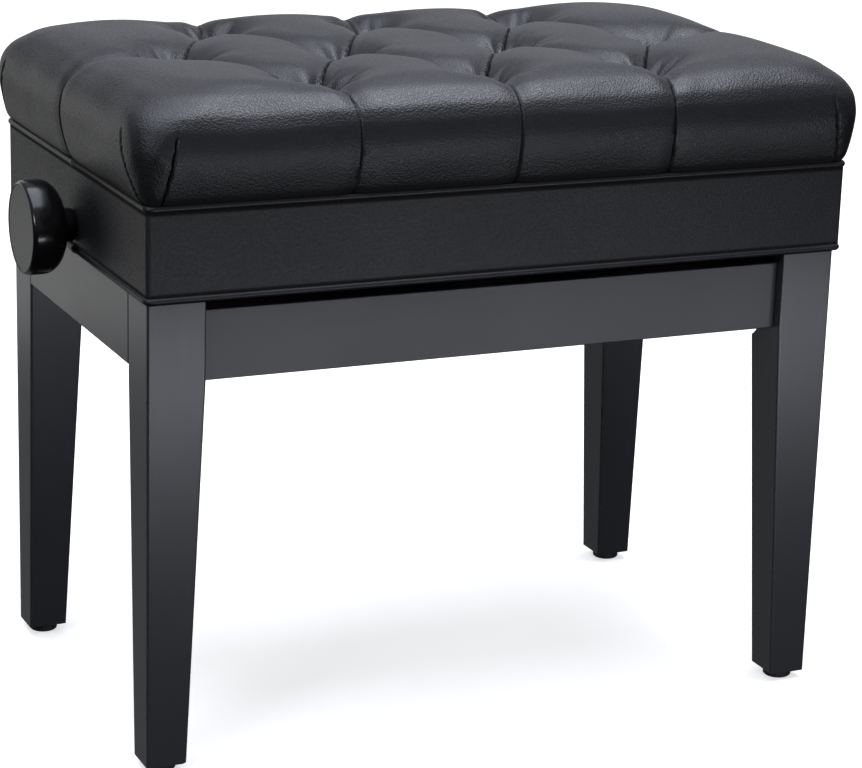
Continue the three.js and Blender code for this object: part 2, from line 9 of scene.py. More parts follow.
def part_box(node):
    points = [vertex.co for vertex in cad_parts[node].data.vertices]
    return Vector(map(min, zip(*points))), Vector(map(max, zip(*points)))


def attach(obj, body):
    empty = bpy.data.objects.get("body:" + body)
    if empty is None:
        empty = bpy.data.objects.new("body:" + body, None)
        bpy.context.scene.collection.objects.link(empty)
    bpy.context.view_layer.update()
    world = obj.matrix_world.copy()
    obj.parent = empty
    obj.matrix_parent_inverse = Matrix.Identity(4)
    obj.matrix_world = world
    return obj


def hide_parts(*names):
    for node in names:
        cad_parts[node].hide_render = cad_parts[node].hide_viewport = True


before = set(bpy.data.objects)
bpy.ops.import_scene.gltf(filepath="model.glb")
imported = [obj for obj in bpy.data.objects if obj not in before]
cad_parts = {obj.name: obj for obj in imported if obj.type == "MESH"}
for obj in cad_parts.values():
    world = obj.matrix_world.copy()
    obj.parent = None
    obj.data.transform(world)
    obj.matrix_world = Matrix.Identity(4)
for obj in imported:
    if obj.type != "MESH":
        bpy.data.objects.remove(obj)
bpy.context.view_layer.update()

mm = 0.001
UP = Vector((0, 0, 1))
rng = np.random.default_rng(7)


# ---------- camera, floor and lights ----------
def place_camera():
    """Looks down at the bench from its front left, as a person standing beside it does."""
    position = Vector((-0.8534, -1.8904, 0.8249))
    target = Vector((0.0115, -0.0082, 0.2240))
    roll = 0.03006
    forward = (target - position).normalized()
    right = forward.cross(UP).normalized()
    level = Matrix((right, right.cross(forward), -forward)).transposed()
    data = bpy.data.cameras.new("studio_camera")
    data.sensor_width = 36
    data.lens = 115.29
    camera = bpy.data.objects.new("studio_camera", data)
    camera.matrix_world = Matrix.Translation(position) @ (level @ Matrix.Rotation(roll, 3, "Z")).to_4x4()
    bpy.context.scene.collection.objects.link(camera)
    bpy.context.scene.camera = camera


def panel(name, position, target, size, radiance, colour):
    """A soft flat light that shows only in what it lights."""
    data = bpy.data.lights.new(name, "AREA")
    data.shape = "RECTANGLE"
    data.size, data.size_y = size
    data.energy = math.pi * size[0] * size[1] * radiance
    data.color = colour
    lamp = bpy.data.objects.new(name, data)
    lamp.location = position
    lamp.rotation_euler = (Vector(target) - Vector(position)).to_track_quat("-Z", "Y").to_euler()
    lamp.visible_camera = False
    bpy.context.scene.collection.objects.link(lamp)


# The sky's colour by height, from straight down (0) through the horizon (0.5) to straight up (1).
SKY = [
    (0.0, (0.01, 0.01, 0.01)),
    (0.48, (0.02, 0.02, 0.021)),
    (0.56, (0.13, 0.132, 0.137)),
    (1.0, (0.45, 0.46, 0.48)),
]

# What the bench's end faces mirror below the horizon, behind the bench.
GROUND_BEHIND = (0.20, 0.205, 0.21)
COOL = (0.95, 0.97, 1.06)
COOLEST = (0.91, 0.95, 1.12)
NEUTRAL = (1.0, 1.0, 0.99)


def light_sky():
    """A dim sky that grows paler upwards, over a dark ground that is paler behind the bench."""
    world = bpy.data.worlds.new("studio")
    bpy.context.scene.world = world
    world.use_nodes = True
    nodes = Nodes(world.node_tree)
    direction = nodes.add("ShaderNodeTexCoord")
    backward = nodes.add("ShaderNodeSeparateXYZ", {}, {"Vector": direction}, output=1)
    upward = nodes.add("ShaderNodeSeparateXYZ", {}, {"Vector": direction}, output=2)
    sky = nodes.add("ShaderNodeValToRGB", {"stops": SKY}, {"Fac": upward * 0.5 + 0.5})
    behind = backward.between(0.35, 0.75) * (0 - upward).between(0, 0.15)
    colour = nodes.mix(behind, sky, GROUND_BEHIND)
    nodes.tree.links.new(colour.socket, nodes.tree.nodes["Background"].inputs["Color"])


def light_studio():
    """Soft panels: overhead for the crown, low ones that the upright faces mirror."""
    light_sky()
    panel("overhead", (0.0, 0.0, 1.7), (0, 0, 0.4), (1.9, 1.5), 2.9, COOLEST)
    panel("overhead_core", (0.45, -0.20, 1.69), (0, 0, 0.4), (0.32, 0.32), 21, COOL)
    panel("back_bank", (0.7, 1.9, 0.95), (0, 0, 0.45), (3.0, 1.2), 0.5, COOL)
    panel("back_left", (-1.1, 1.4, 0.45), (-0.27, 0, 0.35), (1.5, 0.5), 0.75, NEUTRAL)
    panel("left_strip", (-0.80, 0.75, 0.11), (-0.27, 0.1, 0.20), (0.9, 0.18), 0.62, NEUTRAL)
    panel("front_strip", (0.24, -0.95, 0.06), (0.2, -0.16, 0.20), (1.22, 0.10), 7.1, COOL)
    panel("front_left", (-1.5, -1.1, 1.1), (-0.25, -0.1, 0.4), (0.5, 0.4), 9.5, COOL)
    bpy.context.scene.view_settings.view_transform = "Standard"
    bpy.context.scene.view_settings.look = "None"


# ---------- shader arithmetic ----------
class Value:
    """A number, colour or vector that nodes work out. Arithmetic on a number adds Math nodes."""

    def __init__(self, nodes, socket):
        self.nodes = nodes
        self.socket = socket

    def math(self, operation, *terms):
        return self.nodes.add("ShaderNodeMath", {"operation": operation}, dict(enumerate(terms)))

    def __add__(self, other):
        return self.math("ADD", self, other)

    def __radd__(self, other):
        return self.math("ADD", other, self)

    def __sub__(self, other):
        return self.math("SUBTRACT", self, other)

    def __rsub__(self, other):
        return self.math("SUBTRACT", other, self)

    def __mul__(self, other):
        return self.math("MULTIPLY", self, other)

    def __rmul__(self, other):
        return self.math("MULTIPLY", other, self)

    def between(self, low, high):
        """0 below low, 1 above high, and smooth from one to the other."""
        settings = {"interpolation_type": "SMOOTHSTEP"}
        sockets = {"Value": self, "From Min": low, "From Max": high}
        return self.nodes.add("ShaderNodeMapRange", settings, sockets)


class Nodes:
    """A node tree that grows by one node at a time."""

    def __init__(self, tree):
        self.tree = tree

    def add(self, kind, settings=None, sockets=None, output=0):
        """Adds a node, sets it up, fills its sockets with values or links, and returns one output."""
        node = self.tree.nodes.new(kind)
        for setting, value in (settings or {}).items():
            if setting == "stops":
                self.set_stops(node.color_ramp.elements, value)
            else:
                setattr(node, setting, value)
        for socket, value in (sockets or {}).items():
            if isinstance(value, Value):
                self.tree.links.new(value.socket, node.inputs[socket])
            else:
                node.inputs[socket].default_value = value
        return Value(self, node.outputs[output])

    @staticmethod
    def set_stops(elements, stops):
        while len(elements) < len(stops):
            elements.new(0.5)
        for element, (place, colour) in zip(elements, stops):
            element.position = place
            element.color = (*colour, 1)

    def mix(self, factor, first, second):
        """A colour between two colours."""
        first, second = [value if isinstance(value, Value) else (*value, 1) for value in (first, second)]
        return self.add("ShaderNodeMix", {"data_type": "RGBA"}, {0: factor, 6: first, 7: second}, output=2)


class Shader(Nodes):
    """A material's node tree, with its surface shader ready."""

    def __init__(self, name, roughness=0.5, specular=0.5):
        self.material = bpy.data.materials.new(name)
        self.material.use_nodes = True
        super().__init__(self.material.node_tree)
        self.surface = self.tree.nodes["Principled BSDF"]
        self.steady("Roughness", roughness)
        self.steady("Specular IOR Level", specular)

    def steady(self, socket, value):
        """Gives the surface one value all over."""
        self.surface.inputs[socket].default_value = value

    def feed(self, socket, value):
        """Gives the surface a value that varies."""
        self.tree.links.new(value.socket, self.surface.inputs[socket])

    def place(self, scale=(1, 1, 1)):
        """Object coordinates, stretched."""
        own = self.add("ShaderNodeTexCoord", output=3)
        return self.add("ShaderNodeMapping", {}, {"Vector": own, "Scale": scale})

    def noise(self, where, scale, detail=3.0, roughness=0.5):
        sockets = {"Vector": where, "Scale": scale, "Detail": detail, "Roughness": roughness}
        return self.add("ShaderNodeTexNoise", {}, sockets)

    def cells(self, where, scale):
        """Distance from the middle of the cell."""
        return self.add("ShaderNodeTexVoronoi", {"feature": "F1"}, {"Vector": where, "Scale": scale})

    def rounded_cells(self, where, scale, smoothness=0.35):
        sockets = {"Vector": where, "Scale": scale, "Smoothness": smoothness}
        return self.add("ShaderNodeTexVoronoi", {"feature": "SMOOTH_F1"}, sockets)

    def vector(self, operation, sockets, output=0):
        return self.add("ShaderNodeVectorMath", {"operation": operation}, sockets, output)

    def attribute(self, name):
        return self.add("ShaderNodeAttribute", {"attribute_name": name}, output=2)

    def raise_by(self, height, distance):
        """Feeds a height in the range 0 to 1, this many metres tall, to the surface's normal."""
        sockets = {"Height": height, "Distance": distance, "Strength": 1.0}
        self.feed("Normal", self.add("ShaderNodeBump", {}, sockets))


def tinted(colour, factor):
    return tuple(factor * part for part in colour)


# ---------- finishes ----------
BLACK = (0.0115, 0.0120, 0.0140)
PAINT = (0.030, 0.032, 0.036)
# Painted shade: the near-black colour that marked seams and the hems by the pipings are darkened to.
SEAM_SHADE = (0.002, 0.002, 0.002)


def leatherette(name, colour, roughness, pebble, depth, seam_shaded=False):
    """Embossed black leatherette: rounded pebbles between fine lines, duller in the lines, with painted shade
    darkening marked seams and hems almost to black.
    """
    shader = Shader(name, specular=0.42)
    where = shader.place()
    stretch = shader.noise(where, 1 / (9 * pebble), detail=2)
    bend = shader.vector("SCALE", {0: stretch, "Scale": 1.5 * mm})
    warped = shader.vector("ADD", {0: where, 1: bend})
    grain = shader.rounded_cells(warped, 1 / pebble)
    fine = shader.cells(warped, 2.3 / pebble)
    pebbles = 1 - grain.between(0.25, 0.75)
    height = pebbles * 0.8 + (1 - fine) * 0.2
    patches = shader.noise(where, 9, detail=4)
    tone = shader.mix(pebbles * 0.7 + patches * 0.3, tinted(colour, 0.62), colour)
    dull = roughness + 0.14 * (patches - 0.5) + 0.10 * (1 - pebbles)
    if seam_shaded:
        # Painted shade: where the crease attribute marks seams and hems, the colour goes almost to black and
        # the surface duller.
        crease = shader.attribute("crease").between(0.1, 0.65)
        tone = shader.mix(crease, tone, SEAM_SHADE)
        dull = dull + 0.5 * crease
    shader.feed("Base Color", tone)
    shader.feed("Roughness", dull)
    shader.raise_by(height, depth)
    return shader.material


def lacquer(name, colour, roughness, grain_along):
    """Satin black paint on wood: the grain shows faintly through it, and it is rubbed at the arrises, lighter
    there as worn paint and as a painted highlight.
    """
    shader = Shader(name)
    squeeze = {"x": (1, 22, 22), "y": (22, 1, 22), "z": (22, 22, 1)}[grain_along]
    where = shader.place()
    pores = shader.noise(shader.place(scale=squeeze), 14, detail=6, roughness=0.6)
    peel = shader.noise(where, 420, detail=2)
    patches = shader.noise(where, 7, detail=3)
    arris = shader.attribute("arris") * shader.noise(where, 60, detail=4).between(0.35, 0.7)
    tone = shader.mix(patches, tinted(colour, 0.86), colour)
    # Rubbed paint and painted highlight: the arris strips are lightened towards 2.2 times the paint's colour,
    # in noisy patches.
    shader.feed("Base Color", shader.mix(arris * 0.6, tone, tinted(colour, 2.2)))
    shader.feed("Roughness", roughness + 0.08 * (patches - 0.5) + 0.06 * (pores - 0.5) - 0.08 * arris)
    shader.raise_by(pores * 0.7 + peel * 0.3, 0.05 * mm)
    return shader.material


def wood(name, pale, dark, ring_spacing, grain_along):
    """Bare wood: long rings along the grain, with fine pores."""
    shader = Shader(name, specular=0.3)
    squeeze = {"x": (0.06, 1, 1), "y": (1, 0.06, 1), "z": (1, 1, 0.06)}[grain_along]
    where = shader.place(scale=squeeze)
    settings = {"wave_type": "BANDS", "bands_direction": "Z", "wave_profile": "SIN"}
    sockets = {"Vector": where, "Scale": 1 / ring_spacing, "Distortion": 6.0, "Detail": 3.0}
    sockets["Detail Scale"] = 1.5
    rings = shader.add("ShaderNodeTexWave", settings, sockets, output=1)
    pores = shader.noise(where, 900, detail=4, roughness=0.7)
    shader.feed("Base Color", shader.mix(rings * 0.7 + pores * 0.3, dark, pale))
    shader.feed("Roughness", 0.62 + 0.2 * pores)
    shader.raise_by(pores * 0.7 + rings * 0.3, 0.12 * mm)
    return shader.material


def metal(name, colour, roughness, metallic=1.0):
    """Bare, plated or painted metal: fine scratches and cloudy patches."""
    shader = Shader(name)
    where = shader.place()
    patches = shader.noise(where, 35, detail=5, roughness=0.6)
    scratches = shader.noise(shader.place(scale=(4, 60, 60)), 30, detail=3)
    shader.feed("Base Color", shader.mix(patches, tinted(colour, 0.7), colour))
    shader.steady("Metallic", metallic)
    shader.feed("Roughness", roughness + 0.16 * (patches - 0.5) + 0.1 * (scratches - 0.5))
    shader.raise_by(scratches * 0.5 + patches * 0.5, 0.03 * mm)
    return shader.material


def plastic(name, colour, roughness, texture):
    """Moulded plastic: a faint texture from the mould, and fine scuffs."""
    shader = Shader(name)
    where = shader.place()
    skin = shader.noise(where, 900, detail=3)
    scuffs = shader.noise(shader.place(scale=(30, 8, 30)), 22, detail=4).between(0.55, 0.8)
    shader.feed("Base Color", shader.mix(scuffs * 0.3, colour, tinted(colour, 1.8)))
    shader.feed("Roughness", roughness + 0.12 * scuffs + 0.05 * (skin - 0.5))
    shader.raise_by(skin, texture)
    return shader.material


def make_finishes():
    return {
        "cushion": leatherette("cushion_leatherette", BLACK, 0.37, 1.5 * mm, 0.16 * mm, seam_shaded=True),
        "skirt": leatherette("skirt_leatherette", BLACK, 0.46, 1.5 * mm, 0.10 * mm, seam_shaded=True),
        "piping": leatherette("piping_leatherette", BLACK, 0.36, 1.2 * mm, 0.05 * mm),
        # Painted shade: the front and rear aprons get a darker, rougher copy of the same paint.
        "paint_x_shaded": lacquer("black_lacquer_x_shaded", tinted(PAINT, 0.8), 0.37, "x"),
        "paint_y": lacquer("black_lacquer_y", PAINT, 0.30, "y"),
        "paint_z": lacquer("black_lacquer_z", PAINT, 0.30, "z"),
        "plywood": wood("plywood", (0.56, 0.40, 0.24), (0.36, 0.23, 0.12), 9 * mm, "x"),
        "stained_plywood": wood("stained_plywood", (0.040, 0.034, 0.029), (0.024, 0.020, 0.017), 9 * mm, "x"),
        "beech": wood("beech", (0.030, 0.026, 0.023), (0.018, 0.015, 0.013), 5 * mm, "z"),
        "black_steel": metal("black_steel", (0.02, 0.021, 0.023), 0.42, metallic=0.0),
        "zinc": metal("zinc_steel", (0.60, 0.61, 0.63), 0.34),
        "brass": metal("brass", (0.66, 0.47, 0.18), 0.30),
        "knob": plastic("knob_plastic", (0.005, 0.005, 0.0055), 0.17, 0.001 * mm),
        "knob_face": plastic("knob_face_plastic", (0.030, 0.031, 0.032), 0.42, 0.03 * mm),
        "glide": plastic("glide_plastic", (0.016, 0.016, 0.017), 0.6, 0.04 * mm),
        "bush": plastic("bush_plastic", (0.03, 0.03, 0.032), 0.5, 0.03 * mm),
    }


# ---------- making pieces ----------
def new_piece(name, mesh, finish, body, slot, *replaced):
    """Links a finished mesh as a piece that rides on a body and stands for CAD nodes."""
    for material in finish if isinstance(finish, list) else [finish]:
        mesh.materials.append(material)
    piece = bpy.data.objects.new(name, mesh)
    bpy.context.scene.collection.objects.link(piece)
    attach(piece, body)
    if replaced:
        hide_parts(*replaced)
    return piece


def mesh_from(bm, name, smooth_under=38):
    """Ends a bmesh as a mesh that shades smoothly across edges flatter than this many degrees."""
    mesh = bpy.data.meshes.new(name)
    bm.to_mesh(mesh)
    bm.free()
    mesh.polygons.foreach_set("use_smooth", [True] * len(mesh.polygons))
    mesh.set_sharp_from_angle(angle=math.radians(smooth_under))
    return mesh


def merged_copy(node):
    """A bmesh of a CAD node with its loose triangles merged into whole flat faces."""
    bm = bmesh.new()
    bm.from_mesh(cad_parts[node].data)
    bmesh.ops.remove_doubles(bm, verts=bm.verts, dist=0.005 * mm)
    flat = math.radians(0.5)
    bmesh.ops.dissolve_limit(bm, angle_limit=flat, verts=bm.verts, edges=bm.edges, delimit=set())
    return bm


def eased(node, radius, finish, body, slot, over=40):
    """The CAD node's own shape with its arrises sharper than so many degrees eased and marked for wear and a
    painted highlight.
    """
    bm = merged_copy(node)
    arris = bm.faces.layers.float.new("arris")
    sharp = [edge for edge in bm.edges if edge.is_manifold and edge.calc_face_angle() > math.radians(over)]
    made = bmesh.ops.bevel(bm, geom=sharp, offset=radius, affect="EDGES", segments=2, profile=0.5,
                           material=-1, clamp_overlap=True)
    for face in made["faces"]:
        face[arris] = 1.0
    piece = new_piece(f"{node}_finished", mesh_from(bm, node), finish, body, slot, node)
    weighted = piece.modifiers.new("even_shading", "WEIGHTED_NORMAL")
    weighted.keep_sharp = True
    return piece


def refinish(node, finish):
    """A CAD node whose shape is right keeps it and gets a better material."""
    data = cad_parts[node].data
    data.materials.clear()
    data.materials.append(finish)


# ---------- cushion ----------
SUNK = 1 * mm  # how far the cushion presses down behind the piping
UNFILLED = 3 * mm  # how much lower the crown is before the filling lifts it
TUFT_DEPTH = 24 * mm
TUFT_PITCH = 131 * mm
TUFT_ROW = 108 * mm  # from the middle row to an outer one
TUFT_REACH = 22 * mm
FOLD_REACH = 33 * mm  # how far a tuft draws its folds down with it
SEAM = 1.4 * mm  # half a seam's width
DEEP_SEAM = 2.3 * mm
SEAM_DEPTH = 4.8 * mm
CLOTH_STEPS = 20
MOST_MOVED = np.array((2.0, 2.0, 5.0)) * mm
PUCKER_REACH = 34 * mm
PLEATS = 10  # round each tuft
PLEAT_WIDTH = 3.2 * mm
SHOULDER = 45 * mm  # height over the seat board where the top of the cushion begins
# Each level of the filled form, in millimetres: height over the seat board, how far the plain solid
# stands out past the skirt there, and how far the filled cover does.
LEVELS = (
    (0, -8.7, -2.0),
    (5.5, -3.8, 4.0),
    (20, 9, 8.0),
    (40, 11, 11),
    (56, 8, 9.5),
    (66, -2, 4.5),
    (76, -18, -9),
    (80, -38, -30),
)


def fill_out(bm, low, skirt):
    """Gives the plain solid's outline at each level the fuller line of a stuffed cover."""
    added = LEVELS[1][0] * mm + low.z
    every = list(bm.verts) + list(bm.edges) + list(bm.faces)
    bmesh.ops.bisect_plane(bm, geom=every, dist=0.01 * mm, plane_co=(0, 0, added), plane_no=(0, 0, 1))
    for height, plain, full in LEVELS:
        ring = [vert for vert in bm.verts if abs(vert.co.z - low.z - height * mm) < 0.3 * mm]
        factor = [(side + full * mm) / (side + plain * mm) for side in (skirt.x, skirt.y)]
        bmesh.ops.scale(bm, vec=(*factor, 1), verts=ring)


class Fold:
    """A fold or seam of the cushion's cover, from one point to another, on the faces that look one way.

    ends and middle are how deep it is drawn in at each end and between them, crease how sharp its seam is,
    half the seam's half width, and side the test for points on its own stretch of the cover.
    """

    def __init__(self, start, end, facing=UP, ends=(TUFT_DEPTH, TUFT_DEPTH), middle=1.5 * mm, crease=1.0,
                 half=SEAM, side=None):
        self.start = Vector(start)
        self.end = Vector(end)
        self.facing = Vector(facing)
        run = self.end - self.start
        run -= run.project(self.facing)
        self.length = run.length
        self.along = run.normalized()
        self.across = self.along.cross(self.facing).normalized()
        self.ends = ends
        self.middle = middle
        self.crease = crease
        self.half = half
        self.side = side

    def measure(self, points):
        """Each point's distance along the fold and its distance to one side of it, in metres."""
        offset = points - np.array(self.start)
        return offset @ np.array(self.along), offset @ np.array(self.across)

    def holds(self, points, reach):
        """Which points lie on this fold's stretch of the cover and within reach of its line."""
        along, across = self.measure(points)
        near = (np.abs(across) < reach) & (along > -reach) & (along < self.length + reach)
        return near & self.side(points)

    def pull(self, along):
        """How deep the fold lies under the plain form, at each distance along it."""
        first, last = [np.exp(-(np.clip(distance, 0, None) / FOLD_REACH) ** 1.5)
                       for distance in (along, self.length - along)]
        return self.middle + (self.ends[0] - self.middle) * first + (self.ends[1] - self.middle) * last


def above(height):
    """The test for points higher than this over the seat board."""
    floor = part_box("cushion")[0].z + height
    return lambda points: points[:, 2] > floor


def cushion_plan():
    """Where the cover is tufted, and the folds between the tufts and over the edges."""
    low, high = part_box("cushion")
    front = [Vector((x * TUFT_PITCH, -TUFT_ROW, high.z)) for x in (-1, 0, 1)]
    back = [Vector((x * TUFT_PITCH, TUFT_ROW, high.z)) for x in (-1, 0, 1)]
    middle = [Vector((x * TUFT_PITCH, 0, high.z)) for x in (-1.5, -0.5, 0.5, 1.5)]
    on_top = above(0.55 * (high.z - low.z))
    on_cover = above(1.5 * mm)
    folds = []
    for outer in (front, back):
        for place, tuft in enumerate(outer):
            for neighbour in (middle[place], middle[place + 1]):
                folds.append(Fold(tuft, neighbour, side=on_top))
    past_edge = 6 * mm
    lean = 9 * mm  # the outer seams run a little inwards on their way over the edge
    depth = {-1: 1 * mm, 0: 1.5 * mm, 1: 4 * mm}
    sharpness = {-1: 0.35, 0: 0.35, 1: 1.0}
    for outer, sy in ((front, -1), (back, 1)):
        for sx, tuft in zip((-1, 0, 1), outer):
            edge = Vector((tuft.x - sx * lean, sy * (high.y + past_edge), high.z))
            folds.append(Fold(tuft, edge, ends=(TUFT_DEPTH, 0.5 * mm), middle=depth[sx],
                              crease=sharpness[sx], side=on_cover))
    for sx, tuft in ((-1, middle[0]), (1, middle[-1])):
        edge = Vector((sx * (high.x + past_edge), 0, high.z))
        folds.append(Fold(tuft, edge, ends=(TUFT_DEPTH, 1 * mm), middle=4.5 * mm, half=DEEP_SEAM,
                          side=on_cover))
    return front + middle + back, folds


def corner_darts():
    """Two darts at each upright corner, closing towards the piping."""
    low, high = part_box("cushion")
    half_x, half_y = high.x, high.y
    top = low.z + 52 * mm
    skin = 26 * mm  # how far in from a face its points may lie
    darts = []
    for sx in (-1, 1):
        for sy in (-1, 1):
            on_end = lambda points, s=sx: s * points[:, 0] > half_x - skin
            on_side = lambda points, s=sy: s * points[:, 1] > half_y - skin
            end_top = (sx * half_x, sy * (half_y - 37 * mm), top)
            end_foot = (sx * half_x, sy * (half_y - 15 * mm), low.z)
            side_top = (sx * (half_x - 30 * mm), sy * half_y, top + 2 * mm)
            side_foot = (sx * (half_x - 21 * mm), sy * half_y, low.z)
            for start, foot, facing, half, side in ((end_top, end_foot, (sx, 0, 0), 2.6 * mm, on_end),
                                                    (side_top, side_foot, (0, sy, 0), 1.6 * mm, on_side)):
                darts.append(Fold(start, foot, facing, ends=(0, 2 * mm), middle=2 * mm, half=half, side=side))
    return darts


def points_of(mesh, what="co"):
    """A mesh's points, or with what="normal" their normals, as rows of an array."""
    values = np.zeros(len(mesh.vertices) * 3, np.float32)
    mesh.vertices.foreach_get(what, values)
    return values.reshape(-1, 3).astype(float)


def put_points(mesh, points):
    mesh.vertices.foreach_set("co", points.astype(np.float32).ravel())
    mesh.update()


def baked(piece):
    """The mesh of a piece with its modifiers applied, as a new mesh."""
    graph = bpy.context.evaluated_depsgraph_get()
    return bpy.data.meshes.new_from_object(piece.evaluated_get(graph))


def plain_cushion():
    """The cushion's plain form as an even mesh: the CAD solid, a little smaller and sunk into the piping."""
    low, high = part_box("cushion")
    bm = bmesh.new()
    bm.from_mesh(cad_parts["cushion"].data)
    bmesh.ops.remove_doubles(bm, verts=bm.verts, dist=0.01 * mm)
    fill_out(bm, low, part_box("skirt_cover")[1])
    taller = (SUNK - UNFILLED) / (high.z - low.z)
    narrower = 0.5 * mm
    scale = Vector((1 - narrower / high.x, 1 - narrower / high.y, 1 + taller))
    bmesh.ops.scale(bm, vec=scale, space=Matrix.Translation((0, 0, -low.z)), verts=bm.verts)
    bmesh.ops.translate(bm, vec=(0, 0, -SUNK), verts=bm.verts)
    mesh = bpy.data.meshes.new("cushion_form")
    bm.to_mesh(mesh)
    bm.free()
    form = bpy.data.objects.new("cushion_form", mesh)
    bpy.context.scene.collection.objects.link(form)
    remesh = form.modifiers.new("even", "REMESH")
    remesh.mode = "VOXEL"
    remesh.voxel_size = 4.5 * mm
    relax = form.modifiers.new("relax", "SMOOTH")
    relax.factor = 0.5
    relax.iterations = 2
    even = baked(form)
    bpy.data.objects.remove(form)
    return even


def distance_from(tuft, points):
    return np.hypot(points[:, 0] - tuft.x, points[:, 1] - tuft.y)


def tuft_cushion(mesh, tufts, folds):
    """Pulls the tufts and folds into the plain form, and returns which points the cover's threads hold."""
    points, normals = points_of(mesh), points_of(mesh, "normal")
    pulled = np.zeros(len(points))
    held = ~above(4 * mm)(points)
    for fold in folds:
        inside = fold.holds(points, 26 * mm)
        along, across = fold.measure(points)
        pull = fold.pull(along)
        width = 4 * mm + 0.6 * pull
        past = np.clip(np.maximum(-along, along - fold.length), 0, None)
        soft = np.exp(-np.abs(across / width) ** 1.4 - (past / (8 * mm)) ** 2)
        pulled = np.maximum(pulled, np.where(inside, pull * soft, 0))
        held |= fold.holds(points, 2.4 * mm)
    on_top = above(SHOULDER)(points)
    for tuft in tufts:
        gap = distance_from(tuft, points)
        pulled = np.maximum(pulled, np.where(on_top, TUFT_DEPTH * np.exp(-(gap / TUFT_REACH) ** 2), 0))
        held |= on_top & (gap < 4.5 * mm)
    put_points(mesh, points - normals * pulled[:, None])
    return held


def inflate(mesh, held, tufts):
    """Fills the cover by cloth simulation, with what is held staying where it is.

    Returns the points, moved by at most a few millimetres, puckered by the tufts and evened away from them.
    """
    form = bpy.data.objects.new("cushion_cloth", mesh)
    bpy.context.scene.collection.objects.link(form)
    pins = form.vertex_groups.new(name="held")
    pins.add([int(i) for i in np.flatnonzero(held)], 1.0, "REPLACE")
    cloth = form.modifiers.new("cover", "CLOTH")
    settings = cloth.settings
    settings.quality = 6
    settings.mass = 0.3
    settings.tension_stiffness = 12
    settings.compression_stiffness = 12
    settings.shear_stiffness = 6
    settings.bending_stiffness = 0.6
    settings.vertex_group_mass = "held"
    settings.use_pressure = True
    settings.uniform_pressure_force = 4
    settings.shrink_min = -0.015
    settings.effector_weights.gravity = 0
    cloth.collision_settings.use_collision = False
    cloth.point_cache.frame_start = 1
    cloth.point_cache.frame_end = CLOTH_STEPS
    before = points_of(mesh)
    for step in range(1, CLOTH_STEPS + 1):
        bpy.context.scene.frame_set(step)
    moved = points_of(baked(form)) - before
    bpy.context.scene.frame_set(1)
    bpy.data.objects.remove(form)
    moved = MOST_MOVED * np.tanh(moved / MOST_MOVED)
    nearest = np.min([distance_from(tuft, before) for tuft in tufts], axis=0)
    puckered = np.exp(-(nearest / PUCKER_REACH) ** 4)[:, None]
    return before + puckered * moved + (1 - puckered) * evened(mesh, moved, 30)


def evened(mesh, values, passes):
    """Per-vertex values averaged with their neighbours' this many times."""
    pairs = np.zeros(len(mesh.edges) * 2, np.int32)
    mesh.edges.foreach_get("vertices", pairs)
    one, other = pairs.reshape(-1, 2).T
    ends, count = np.concatenate((one, other)), len(values)
    degree = np.bincount(ends, minlength=count)
    for _ in range(passes):
        across = values[np.concatenate((other, one))]
        sums = [np.bincount(ends, weights=across[:, axis], minlength=count) for axis in range(3)]
        values = 0.5 * values + 0.5 * np.stack(sums, axis=1) / degree[:, None]
    return values


def rest_on_board(mesh):
    """Flattens the underside where it lies on the seat board and on the skirt boards round it."""
    points = points_of(mesh)
    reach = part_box("seat_board")[1] + Vector((1, 1, 0)) * mm
    over_board = (np.abs(points[:, 0]) < reach.x) & (np.abs(points[:, 1]) < reach.y)
    rest = np.where(over_board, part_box("cushion")[0].z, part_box("skirt_board_left")[1].z + 0.1 * mm)
    points[:, 2] = np.maximum(points[:, 2], rest)
    put_points(mesh, points)


def refine(mesh):
    """One subdivision, applied."""
    form = bpy.data.objects.new("cushion_refine", mesh)
    bpy.context.scene.collection.objects.link(form)
    finer = form.modifiers.new("finer", "SUBSURF")
    finer.levels = finer.render_levels = 1
    fine = baked(form)
    bpy.data.objects.remove(form)
    return fine


def cut_along(bm, fold):
    """Cuts three lines of edges along a fold's seam, and returns the points near it."""
    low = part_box("cushion")[0]
    bm.faces.ensure_lookup_table()
    centres = np.array([face.calc_center_median() for face in bm.faces])
    near = np.flatnonzero(fold.holds(centres, 5 * mm) & (centres[:, 2] > low.z + 0.5 * mm))
    faces = [bm.faces[i] for i in near]
    for offset in (-fold.half, 0, fold.half):
        faces = [face for face in faces if face.is_valid]
        geometry = set(faces)
        for face in faces:
            geometry.update(face.edges)
            geometry.update(face.verts)
        cut = bmesh.ops.bisect_plane(bm, geom=list(geometry), dist=0.05 * mm,
                                     plane_co=fold.start + fold.across * offset, plane_no=fold.across)
        faces = [item for item in cut["geom"] if isinstance(item, bmesh.types.BMFace)]
    return list({vert for face in faces if face.is_valid for vert in face.verts})


def sew(bm, folds):
    """Sinks a seam into the mesh along each fold, and marks it and the bottom hem for painted shade in the
    finish.
    """
    crease = bm.verts.layers.float.new("crease")
    past_end = 1 * mm
    run_in = 12 * mm  # a dart deepens from nothing over this length
    for fold in folds:
        verts = cut_along(bm, fold)
        along, across = fold.measure(np.array([vert.co for vert in verts]))
        on_line = np.abs(across) < 0.35 * fold.half
        for index in np.flatnonzero((along > -past_end) & (along < fold.length + past_end) & on_line):
            vert = verts[index]
            is_dart = fold.ends[0] == 0
            fade = min(1.0, max(0.0, float(along[index] + past_end) / run_in)) if is_dart else 1.0
            vert.co -= vert.normal * SEAM_DEPTH * fade * fold.crease
            vert[crease] = fade * fold.crease
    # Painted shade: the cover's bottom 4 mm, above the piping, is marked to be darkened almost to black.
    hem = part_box("cushion")[0].z + 4 * mm
    for vert in bm.verts:
        if vert.co.z < hem:
            vert[crease] = 1.0


